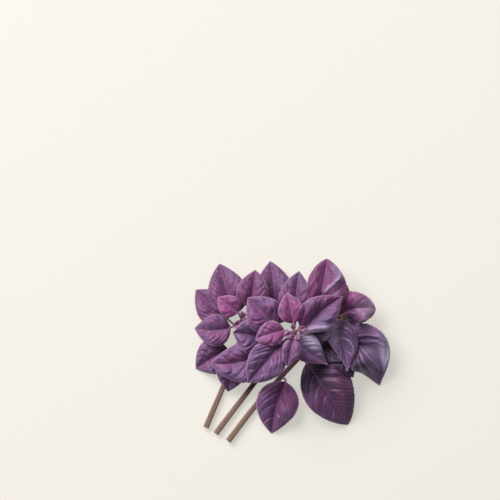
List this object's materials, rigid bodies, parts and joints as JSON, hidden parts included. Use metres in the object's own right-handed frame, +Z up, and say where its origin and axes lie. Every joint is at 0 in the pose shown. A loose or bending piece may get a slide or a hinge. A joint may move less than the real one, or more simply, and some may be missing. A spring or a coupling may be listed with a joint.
{
  "type": "purple basil bunch",
  "caption": "Bunch of purple basil: cut sprigs lying flat, with broad toothed leaves on thin stalks and tufts of young leaves at the tips.",
  "frame": {"origin": "centre of the bounding box, on the surface that the bunch lies on", "axes": "+Z up from that surface; the cut stem ends point towards -X and -Y, and the leaves spread towards +X and +Y"},
  "size_m": [0.1567, 0.1486, 0.0467],
  "materials": {
    "leaf": "dark purple basil leaf, softly shining, with raised veins",
    "young_leaf": "young magenta basil leaf, softly shining",
    "stem": "purple-brown square herb stem, finely haired"
  },
  "bodies": {
    "root": {"leaf_front": "leaf", "leaf_front_small": "leaf", "leaf_right_front": "leaf", "leaf_near_stems": "leaf", "leaf_back_left": "leaf", "leaf_back_middle": "leaf", "leaf_left_corner": "leaf", "leaf_left_low": "leaf", "leaf_inner_front": "leaf", "leaf_right": "leaf", "leaf_back_inner": "leaf", "leaf_back": "leaf", "leaf_middle_front": "leaf", "leaf_left_back": "leaf", "leaf_left_front": "leaf", "leaf_left_side": "leaf", "leaf_left_inner": "leaf", "leaf_left_young": "young_leaf", "leaf_lower_left": "leaf", "leaf_middle_left": "leaf", "leaf_inner_band": "leaf", "leaf_inner_left": "leaf", "leaf_inner_low": "leaf", "leaf_upper_left": "leaf", "leaf_upper_right": "leaf", "leaf_young_back": "young_leaf", "leaf_young_front": "young_leaf", "leaf_young_left": "young_leaf", "stem_right": "stem", "stem_left": "stem", "stem_middle": "stem"}
  },
  "joints": []
}
